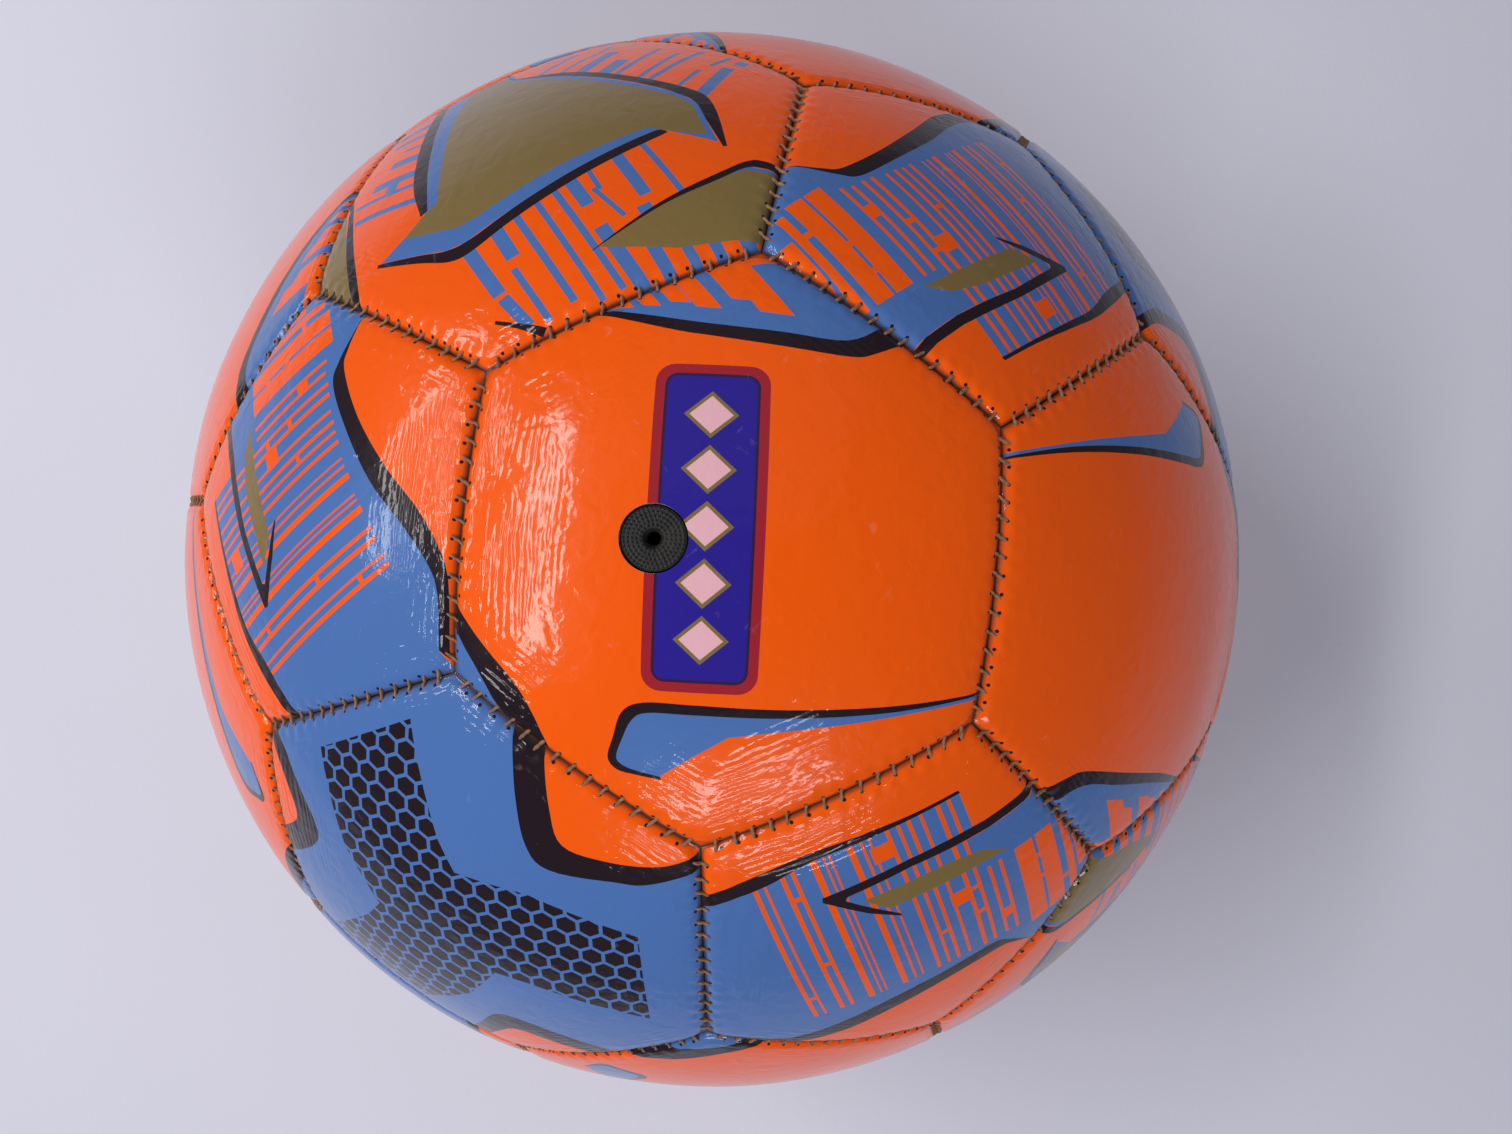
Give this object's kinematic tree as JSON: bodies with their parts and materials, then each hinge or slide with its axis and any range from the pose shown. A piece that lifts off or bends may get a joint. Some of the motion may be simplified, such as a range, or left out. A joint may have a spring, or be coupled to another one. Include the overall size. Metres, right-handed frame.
{
  "type": "soccer ball",
  "caption": "Hand-stitched football of hexagon and pentagon laminate panels with seam threads, rubber bladder and a removable needle valve",
  "frame": {"origin": "the ball's centre", "axes": "+Z out through the valve, +X from the valve towards the centre of the valve panel, +Y along that panel's two seams that lie across X"},
  "size_m": [0.22, 0.2196, 0.22],
  "materials": {
    "printed_cover": "glossy printed PVC skin in orange with blue, black and gold figures",
    "foam": "closed-cell EVA foam",
    "lining": "plain woven polyester-cotton backing",
    "thread": "waxed twisted polyester thread",
    "bladder_rubber": "matt butyl rubber",
    "valve_rubber": "moulded black rubber with a satin face"
  },
  "bodies": {
    "ball": {"hex_cover_01": "printed_cover", "hex_cover_02": "printed_cover", "hex_cover_03": "printed_cover", "hex_cover_04": "printed_cover", "hex_cover_05": "printed_cover", "hex_cover_06": "printed_cover", "hex_cover_07": "printed_cover", "hex_cover_08": "printed_cover", "hex_cover_09": "printed_cover", "hex_cover_10": "printed_cover", "hex_cover_11": "printed_cover", "hex_cover_12": "printed_cover", "hex_cover_13": "printed_cover", "hex_cover_14": "printed_cover", "hex_cover_15": "printed_cover", "hex_cover_16": "printed_cover", "hex_cover_17": "printed_cover", "hex_cover_18": "printed_cover", "hex_cover_19": "printed_cover", "hex_cover_20": "printed_cover", "pent_cover_01": "printed_cover", "pent_cover_02": "printed_cover", "pent_cover_03": "printed_cover", "pent_cover_04": "printed_cover", "pent_cover_05": "printed_cover", "pent_cover_06": "printed_cover", "pent_cover_07": "printed_cover", "pent_cover_08": "printed_cover", "pent_cover_09": "printed_cover", "pent_cover_10": "printed_cover", "pent_cover_11": "printed_cover", "pent_cover_12": "printed_cover", "hex_foam_layers": "foam", "pent_foam_layers": "foam", "hex_linings": "lining", "pent_linings": "lining", "threads_hex_seams": "thread", "threads_pent_seams": "thread", "bladder": "bladder_rubber", "valve_housing": "valve_rubber", "valve_patch": "bladder_rubber"},
    "valve": {"valve_plug": "valve_rubber"}
  },
  "joints": [
    {"name": "valve_plug_pull", "type": "slide", "parent": "ball", "child": "valve", "axis": [0, 0, 1], "range_m": [0, 0.025]}
  ]
}
